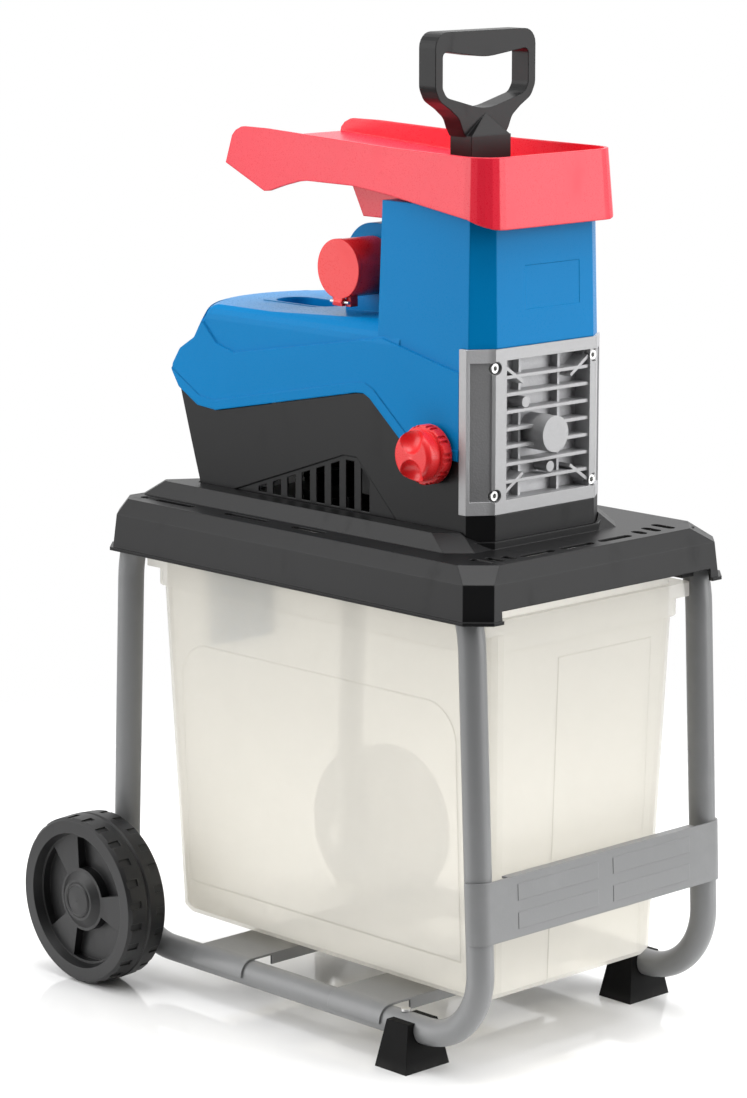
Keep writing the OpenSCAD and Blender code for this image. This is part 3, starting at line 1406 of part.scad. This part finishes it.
// Plunger: a D-handle moulded with its stem, drawn across the machine
module plunger_handle() {
    w = handle_w / 2;
    top = rim_h + handle_rise;
    back = stem_shift - stem.x / 2;
    front = back + stem.x;
    gable = 21;
    half = [[w, 0], [w, -50], [w - 5.5, -61], [w - 19, -69], [w - 30, -77.5], [w - 34, -87],
        [stem.y / 2, -stem_top]];
    outer = concat(half, flipped([for (p = half) [-p.x, p.y]]));
    soft = [14, 16, 14, 20, 14, 10, 0];
    window = rounded(
        [[9 - w, -17], [9 - w, -50], [14 - w, -58], [0, -71], [w - 14, -58], [w - 9, -50],
            [w - 9, -17], [0, -24]],
        [5, 8, 10, 60, 10, 8, 5, 90]
    );
    color("#2c2c2c") translate([base_x + plunger_x, body_y, top]) {
        translate([-handle_t / 2, 0, 0]) along_x(handle_t) difference() {
            polygon(rounded(outer, concat(soft, flipped(soft))));
            polygon(window);
        }
        translate([back, -stem.y / 2, ram_z + ram_h + seat - top])
            cube([stem.x, stem.y, top - stem_top + over - ram_z - ram_h - seat]);
        translate([back + 6, -throat_w / 2 - 9, floor_z + seat - top])
            cube([stem.x - 12, throat_w + 18, 6]);
        intersection() {
            translate([back, 0, -stem_top]) along_x(stem.x)
                polygon([[-stem.y / 2, 0], [stem.y / 2, 0], [0, gable]]);
            across(stem.y) polygon([
                [back, -stem_top], [front, -stem_top], [front - 7, gable - stem_top],
                    [back, gable - stem_top]
            ]);
        }
    }
}

// The plunger's foot fills the feed shaft with running room all round
module plunger_foot() {
    l = throat_l - 2 * ram_clear;
    w = throat_w - 2 * ram_clear;
    color("#202020") translate([base_x + throat_x, body_y, ram_z]) {
        translate([-l / 2, -w / 2, 0]) cube([l, w, ram_h]);
        translate([0, 0, -18]) across(w * 0.8)
            polygon([[-l * 0.3, 0], [l * 0.3, 0], [l * 0.42, 18 + over], [-l * 0.42, 18 + over]]);
    }
}

side_frame_left();
side_frame_right();
front_brace();
rear_floor_plate();
front_floor_plate();
foot_left();
foot_right();
foot_screws();
wheel_left();
wheel_right();
hub_cap_left();
hub_cap_right();
axle_bolt_left();
axle_bolt_right();
axle_spacers();
axle_nuts();
base_cover();
frame_bolts();
interlock_switch();
collection_box();
box_latch();
lower_housing();
upper_housing();
housing_screws();
end_casting();
end_casting_screws();
chamber_body();
cutting_drum();
drum_shaft();
front_bearing();
rear_bearing();
drum_gear();
countershaft();
gearbox_case();
motor_stator();
motor_rotor();
motor_bearings();
motor_end_shield();
motor_fan();
motor_capacitor();
pressure_plate();
adjusting_screw();
adjusting_knob();
inlet_socket();
inlet_pins();
inlet_flap();
flap_pin();
switch_block();
start_button();
stop_button();
direction_switch();
feed_shaft();
hopper();
hopper_screws();
plunger_handle();
plunger_foot();
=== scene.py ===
"""Studio scene of the wood chipper: finishes, shallow moulded details, light and camera."""

import json
import math

import bpy
import numpy as np
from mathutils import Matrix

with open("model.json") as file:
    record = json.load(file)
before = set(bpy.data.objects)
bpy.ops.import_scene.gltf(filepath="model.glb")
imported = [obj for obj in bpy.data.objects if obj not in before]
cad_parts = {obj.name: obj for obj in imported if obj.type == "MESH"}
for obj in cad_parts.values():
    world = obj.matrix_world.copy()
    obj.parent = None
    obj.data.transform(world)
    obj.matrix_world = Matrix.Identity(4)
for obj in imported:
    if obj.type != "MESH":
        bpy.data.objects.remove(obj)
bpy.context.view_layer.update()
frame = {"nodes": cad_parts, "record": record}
nodes = frame["nodes"]

MM = 0.001


# Shader values


class Value:
    """A shader socket; arithmetic on it adds Math nodes to its tree."""

    def __init__(self, tree, socket):
        self.tree = tree
        self.socket = socket

    def make(self, kind, settings=None, sockets=None, out=0):
        """Adds a node of a type, with settings and socket values, and returns one output as a value."""
        node = self.tree.nodes.new(kind)
        for key, setting in (settings or {}).items():
            setattr(node, key, setting)
        for key, value in (sockets or {}).items():
            if isinstance(value, Value):
                self.tree.links.new(value.socket, node.inputs[key])
            else:
                node.inputs[key].default_value = value
        return Value(self.tree, node.outputs[out])

    def math(self, operation, *others):
        values = dict(enumerate((self,) + others))
        return self.make("ShaderNodeMath", {"operation": operation}, values)

    def __add__(self, other):
        return self.math("ADD", other)

    def __radd__(self, other):
        return self.math("ADD", other)

    def __sub__(self, other):
        return self.math("SUBTRACT", other)

    def __rsub__(self, other):
        return self.math("MULTIPLY", -1.0) + other

    def __mul__(self, other):
        return self.math("MULTIPLY", other)

    def __rmul__(self, other):
        return self.math("MULTIPLY", other)

    def __pow__(self, other):
        return self.math("POWER", other)

    def __abs__(self):
        return self.math("ABSOLUTE")

    def high(self, other):
        return self.math("MAXIMUM", other)

    def ramp(self, start, end):
        """Smooth step from 0 at start to 1 at end."""
        limits = {0: self, 1: start, 2: end, 3: 0.0, 4: 1.0}
        return self.make("ShaderNodeMapRange", {"interpolation_type": "SMOOTHSTEP"}, limits)

    def axes(self):
        """The x, y and z of a vector."""
        node = self.tree.nodes.new("ShaderNodeSeparateXYZ")
        self.tree.links.new(self.socket, node.inputs[0])
        return [Value(self.tree, o) for o in node.outputs]

    def stretched(self, x, y, z):
        """A vector scaled along each axis, which draws a pattern out where the factor is small."""
        return self.make("ShaderNodeVectorMath", {"operation": "MULTIPLY"}, {0: self, 1: (x, y, z)})

    def noise(self, scale, detail=3.0, rough=0.5):
        sockets = {"Vector": self, "Scale": scale, "Detail": detail, "Roughness": rough}
        return self.make("ShaderNodeTexNoise", None, sockets)

    def cells(self, scale):
        return self.make("ShaderNodeTexVoronoi", None, {"Vector": self, "Scale": scale})

    def between(self, first, second):
        """Colour from first to second as this value goes from 0 to 1."""
        a = first if isinstance(first, Value) else (*first, 1.0)
        b = second if isinstance(second, Value) else (*second, 1.0)
        return self.make("ShaderNodeMix", {"data_type": "RGBA"}, {0: self, 6: a, 7: b}, out=2)


class Finish:
    """One material: a Principled shader, object coordinates and a way to set its inputs."""

    def __init__(self, name):
        self.material = bpy.data.materials.new(name)
        self.material.use_nodes = True
        self.tree = self.material.node_tree
        self.shader = self.tree.nodes["Principled BSDF"]
        self.output = self.tree.nodes["Material Output"]
        coordinate = self.tree.nodes.new("ShaderNodeTexCoord")
        self.at = Value(self.tree, coordinate.outputs["Object"])
        geometry = self.tree.nodes.new("ShaderNodeNewGeometry")
        self.normal = Value(self.tree, geometry.outputs["Normal"])

    def set(self, **inputs):
        """Sets or links the shader's inputs, with underscores for the spaces in their names."""
        for name, value in inputs.items():
            socket = self.shader.inputs[name.replace("_", " ")]
            if isinstance(value, Value):
                self.tree.links.new(value.socket, socket)
            else:
                socket.default_value = value
        return self

    def surface(self, height, depth, edge):
        """Bump of a height map in metres over edges rounded to a radius."""
        soft = self.at.make("ShaderNodeBevel", {"samples": 6}, {"Radius": edge})
        return self.set(Normal=self.relief(height, depth, 1.0, soft))

    def relief(self, height, depth, strength, below=None):
        """A bump from a height map, over another normal where one is given."""
        sockets = {"Height": height, "Distance": depth, "Strength": strength}
        if below is not None:
            sockets["Normal"] = below
        return self.at.make("ShaderNodeBump", None, sockets)

    def show(self, shader):
        """Links a mixed shader to the material's output."""
        self.tree.links.new(shader.socket, self.output.inputs["Surface"])
        return self


def scaled(colour, factor):
    return tuple(min(1.0, c * factor) for c in colour)


DRIFT = 0.07


def plastic(name, colour, rough, grain=900.0, depth=0.03 * MM, edge=1.0 * MM, height=None, gloss=0.5):
    """Moulded plastic: slow colour drift, moulding grain, handling marks and rounded edges."""
    f = Finish(name)
    drift = f.at.noise(7.0, 2.0)
    marks = f.at.stretched(1.0, 1.0, 0.35).noise(46.0, 5.0, 0.62).ramp(0.56, 0.74)
    fine = f.at.noise(grain, 2.0)
    f.set(
        Base_Color=drift.between(scaled(colour, 1.0 - DRIFT), scaled(colour, 1.0 + DRIFT)),
        Roughness=marks * 0.09 + fine * 0.06 + (rough - 0.05),
        Specular_IOR_Level=gloss,
    )
    return f.surface(fine if height is None else fine + height(f), depth, edge)


def metal(name, colour, rough, stretch, streak=260.0):
    """Bare metal with fine machining streaks along one direction."""
    f = Finish(name)
    lines = f.at.stretched(*stretch).noise(streak, 3.0)
    stain = f.at.noise(30.0, 4.0)
    f.set(
        Base_Color=stain.between(scaled(colour, 0.9), scaled(colour, 1.06)),
        Metallic=1.0,
        Roughness=lines * 0.16 + stain * 0.08 + (rough - 0.1),
    )
    return f.surface(lines, 0.02 * MM, 0.4 * MM)


def painted(name, colour, rough):
    """Powder coat: orange peel over steel, with faint rubbing."""
    f = Finish(name)
    peel = f.at.noise(420.0, 2.0)
    rub = f.at.noise(18.0, 5.0, 0.65).ramp(0.5, 0.8)
    f.set(
        Base_Color=rub.between(colour, scaled(colour, 1.1)),
        Roughness=rub * 0.1 + peel * 0.05 + (rough - 0.04),
        Coat_Weight=0.15,
        Coat_Roughness=0.25,
    )
    return f.surface(peel, 0.06 * MM, 0.8 * MM)


def rubber(name, colour, dusty):
    """Rubber with a fine grain and a little dust close to the floor."""
    f = Finish(name)
    grain = f.at.noise(700.0, 3.0)
    x, y, z = f.at.axes()
    dust = z.ramp(12 * MM, 0.0) * f.at.noise(60.0, 4.0)
    f.set(
        Base_Color=dust.between(colour, dusty),
        Roughness=grain * 0.1 + 0.6,
        Specular_IOR_Level=0.12,
    )
    return f.surface(grain, 0.06 * MM, 1.2 * MM)


def slab(x, low, high, soft):
    """1 between two limits of a value, with soft edges."""
    return x.ramp(low - soft, low + soft) * x.ramp(high + soft, high - soft)


# Moulded details that are shallower than the solids


def tower_plate(f):
    """The bare, slightly sunk plate on the tower's front face."""
    x, y, z = f.at.axes()
    wide = slab(y, -41 * MM, 29 * MM, 0.5 * MM)
    tall = slab(z, 683 * MM, 722 * MM, 0.5 * MM)
    in_front = x.ramp(210 * MM, 212 * MM)
    sink = -22.0  # in grain heights
    return wide * tall * in_front * sink


def casting(name):
    """Sand-cast aluminium: dull and pitted in the recesses, brighter on the faces that were machined,
    with painted shade on the sunk chamfer panel.
    """
    f = Finish(name)
    x, y, z = f.at.axes()
    across = abs(f.normal.axes()[1])
    machined = x.ramp(217 * MM, 221 * MM).high(across.ramp(0.7, 0.9) * x.ramp(190 * MM, 194 * MM))
    along_chamfer = x * 0.81 - y * 0.58  # distance along the chamfer's normal
    panel_floor = along_chamfer.ramp(225.8 * MM, 225.2 * MM) * along_chamfer.ramp(222 * MM, 224 * MM)
    # painted shade: the sunk chamfer panel gets the darker in_shade colour, standing in for the dark
    # studio side that falls on it
    painted_shade_panel = panel_floor * slab(across, 0.5, 0.66, 0.03)
    pits = f.at.cells(520.0) + f.at.noise(300.0, 4.0)
    lines = f.at.stretched(0.2, 0.1, 1.0).noise(420.0, 2.0)
    as_cast, faced, in_shade = (0.56, 0.56, 0.57), (0.42, 0.42, 0.425), (0.28, 0.28, 0.285)
    f.set(
        Base_Color=painted_shade_panel.between(machined.between(as_cast, faced), in_shade),
        Metallic=0.55,
        Roughness=pits * 0.1 + machined * -0.06 + lines * 0.08 + 0.46,
    )
    return f.surface(pits * (1.0 - machined * 0.8), 0.12 * MM, 0.7 * MM)


def box_panels(f):
    """Raised fields on the box: an arch on each long side and one between the front columns."""
    x, y, z = f.at.axes()
    across = abs(f.normal.axes()[1]).ramp(0.5, 0.8)
    along = abs(f.normal.axes()[0]).ramp(0.5, 0.8)
    middle, half, top, arch_r, soft = 36 * MM, 150 * MM, 300 * MM, 36 * MM, 1.2 * MM
    beside = (abs(x - middle) - half).high(0.0)
    over = (z.high(100 * MM) - top).high(0.0)
    corner = (beside**2.0 + over**2.0) ** 0.5 - arch_r
    long_field = corner.ramp(soft, -soft) * z.ramp(96 * MM, 98 * MM) * across
    front_wide = slab(y, -34 * MM, 89 * MM, 1.0 * MM)
    front_tall = slab(z, 60 * MM, 372 * MM, 1.0 * MM)
    return long_field + front_wide * front_tall * along


def box_plastic(name):
    """Frosted polypropylene: warm white, lets light and dark shapes through."""
    f = Finish(name)
    colour = (0.95, 0.945, 0.925)
    cloud = f.at.noise(9.0, 4.0)
    fine = f.at.noise(800.0, 2.0)
    f.set(
        Base_Color=cloud.between(scaled(colour, 0.97), scaled(colour, 1.04)),
        Roughness=cloud * 0.1 + 0.28,
        IOR=1.45,
    )
    grain = f.relief(fine, 0.02 * MM, 0.6)
    panels = f.relief(box_panels(f), 1.6 * MM, 1.0, grain)
    f.set(Normal=panels)
    milk, glass = (0.98, 0.96, 0.92, 1.0), (0.97, 0.96, 0.93, 1.0)
    through = f.at.make("ShaderNodeBsdfTranslucent", None, {"Color": milk, "Normal": panels})
    clear = f.at.make("ShaderNodeBsdfTransparent", None, {"Color": glass})
    solid = Value(f.tree, f.shader.outputs[0])
    milky = f.at.make("ShaderNodeMixShader", None, {0: 0.45, 1: solid, 2: through})
    veil = cloud * 0.1 + 0.5
    return f.show(f.at.make("ShaderNodeMixShader", None, {0: veil, 1: milky, 2: clear}))


BLACK = (0.009, 0.009, 0.0095)
WHEEL_BLACK = (0.008, 0.008, 0.0085)
BLUE = (0.001, 0.215, 0.53)
RED = (0.88, 0.022, 0.05)
WARM_RED = (0.88, 0.026, 0.03)
GREY = (0.2, 0.203, 0.205)

finishes = {
    "frame_paint": painted("frame_paint_coat", GREY, 0.36),
    "foot_rubber": rubber("foot_rubber_grain", (0.005, 0.005, 0.005), (0.03, 0.029, 0.028)),
    "wheel_plastic": plastic(
        "wheel_plastic_grain", WHEEL_BLACK, 0.44, grain=700.0, depth=0.05 * MM, gloss=0.45
    ),
    "fastener_steel": metal("fastener_zinc", (0.66, 0.66, 0.65), 0.3, (1.0, 1.0, 1.0)),
    "black_plastic": plastic(
        "black_plastic_grain", BLACK, 0.36, grain=1000.0, depth=0.04 * MM, edge=1.4 * MM, gloss=0.23
    ),
    "box_plastic": box_plastic("box_frosted"),
    "blue_plastic": plastic("blue_plastic_skin", BLUE, 0.3, edge=1.6 * MM, gloss=0.07),
    "red_plastic": plastic("red_plastic_skin", RED, 0.3, edge=1.8 * MM, gloss=0.45),
    "green_plastic": plastic("green_plastic_skin", (0.02, 0.4, 0.1), 0.3),
    "cast_aluminium": metal("cast_aluminium_skin", (0.78, 0.78, 0.79), 0.36, (0.2, 1.0, 1.0)),
    "tool_steel": metal("tool_steel_ground", (0.5, 0.5, 0.51), 0.28, (1.0, 0.1, 0.1)),
    "bearing_steel": metal("bearing_steel_ground", (0.7, 0.7, 0.71), 0.2, (1.0, 1.0, 0.2)),
    "stator_steel": metal("stator_laminations", (0.45, 0.33, 0.26), 0.4, (6.0, 0.2, 0.2), streak=300.0),
    "capacitor_plastic": plastic("capacitor_can", (0.8, 0.8, 0.78), 0.3),
    "brass": metal("brass_pins", (0.8, 0.6, 0.25), 0.25, (0.3, 1.0, 0.3)),
}
warm_red = plastic("warm_red_skin", WARM_RED, 0.3, edge=1.4 * MM, gloss=0.45)
own_finish = {
    "adjusting_knob": warm_red,
    "inlet_socket": warm_red,
    "inlet_flap": warm_red,
    "end_casting": casting("end_casting_skin"),
    # painted shade: the cast gearbox case is coloured near black so the vents show dark, standing in for
    # the shade inside the housing
    "gearbox_case": painted("gearbox_painted_shade", (0.012, 0.012, 0.0125), 0.5),
    "upper_housing": plastic(
        "blue_housing_skin", BLUE, 0.3, edge=2.0 * MM, height=tower_plate, gloss=0.07
    ),
}

for row in frame["record"]["subparts"]:
    node = nodes[row["node"]]
    finish = own_finish.get(row["node"], finishes[row["material_slot"]])
    node.data.materials.clear()
    node.data.materials.append(finish.material)


# Stage


def stage_floor(colour, rough, half, fade):
    """A glossy square that turns transparent between the two radii in fade."""
    mesh = bpy.data.meshes.new("floor")
    corners = [(-half, -half, 0), (half, -half, 0), (half, half, 0), (-half, half, 0)]
    mesh.from_pydata(corners, [], [(0, 1, 2, 3)])
    floor = bpy.data.objects.new("floor", mesh)
    bpy.context.scene.collection.objects.link(floor)
    f = Finish("floor_gloss")
    f.set(
        Base_Color=f.at.noise(0.4, 1.0).between(colour, scaled(colour, 1.02)),
        Roughness=f.at.noise(2.0, 2.0) * 0.04 + rough,
        Specular_IOR_Level=0.7,
    )
    x, y, z = f.at.axes()
    far = ((x * x + y * y) ** 0.5).ramp(*fade)
    clear = f.at.make("ShaderNodeBsdfTransparent")
    gloss = Value(f.tree, f.shader.outputs[0])
    f.show(f.at.make("ShaderNodeMixShader", None, {0: far, 1: gloss, 2: clear}))
    mesh.materials.append(f.material)


stage_floor((0.98, 0.98, 0.98), 0.05, 14.0, (0.55, 1.3))

world = bpy.context.scene.world or bpy.data.worlds.new("studio")
bpy.context.scene.world = world
world.use_nodes = True
sky = world.node_tree
sky.nodes.clear()
camera_ray = Value(sky, sky.nodes.new("ShaderNodeLightPath").outputs["Is Camera Ray"])
direction = Value(sky, sky.nodes.new("ShaderNodeTexCoord").outputs["Generated"])
east, north, up = direction.axes()
# The studio is dark where the camera stands and dimmer below the horizon; the camera sees white.
dark_side = (east * 0.72 - north * 0.69).ramp(0.25, 0.7) * up.ramp(0.8, 0.45)
below = up.ramp(-0.02, -0.2)
studio = (dark_side * -1.0 + below * -0.55 + 1.02).high(0.03)
strength = camera_ray * (1.0 - studio) + studio
white = (1.0, 1.0, 1.0, 1.0)
background = camera_ray.make("ShaderNodeBackground", None, {"Color": white, "Strength": strength})
sky.links.new(background.socket, sky.nodes.new("ShaderNodeOutputWorld").inputs["Surface"])


def softbox(name, place, target, size, power):
    """A rectangular lamp turned to face a point."""
    light = bpy.data.lights.new(name, "AREA")
    light.shape = "RECTANGLE"
    light.size, light.size_y = size
    light.energy = power
    lamp = bpy.data.objects.new(name, light)
    lamp.location = place
    way = np.array(target) - np.array(place)
    flat = math.hypot(way[0], way[1])
    lamp.rotation_euler = (math.atan2(flat, -way[2]), 0.0, math.atan2(-way[0], way[1]))
    bpy.context.scene.collection.objects.link(lamp)


softbox("left_box", (-1.5, -2.3, 1.3), (0.0, 0.0, 0.5), (2.2, 2.6), 42.0)
softbox("right_box", (2.3, 1.5, 1.2), (0.0, 0.0, 0.5), (2.2, 2.6), 50.0)
softbox("top_box", (0.2, 0.2, 2.6), (0.0, 0.0, 0.4), (2.0, 2.0), 52.0)

camera_data = bpy.data.cameras.new("photo_camera")
camera_data.sensor_width = 36.0
camera_data.sensor_height = 36.0
camera_data.lens = 121.59
camera = bpy.data.objects.new("photo_camera", camera_data)
camera.location = (2.49195, -2.39479, 1.10657)
camera.rotation_euler = (math.radians(78.92), 0.0, math.radians(46.34))
bpy.context.scene.collection.objects.link(camera)
bpy.context.scene.camera = camera
bpy.context.scene.view_settings.view_transform = "Standard"
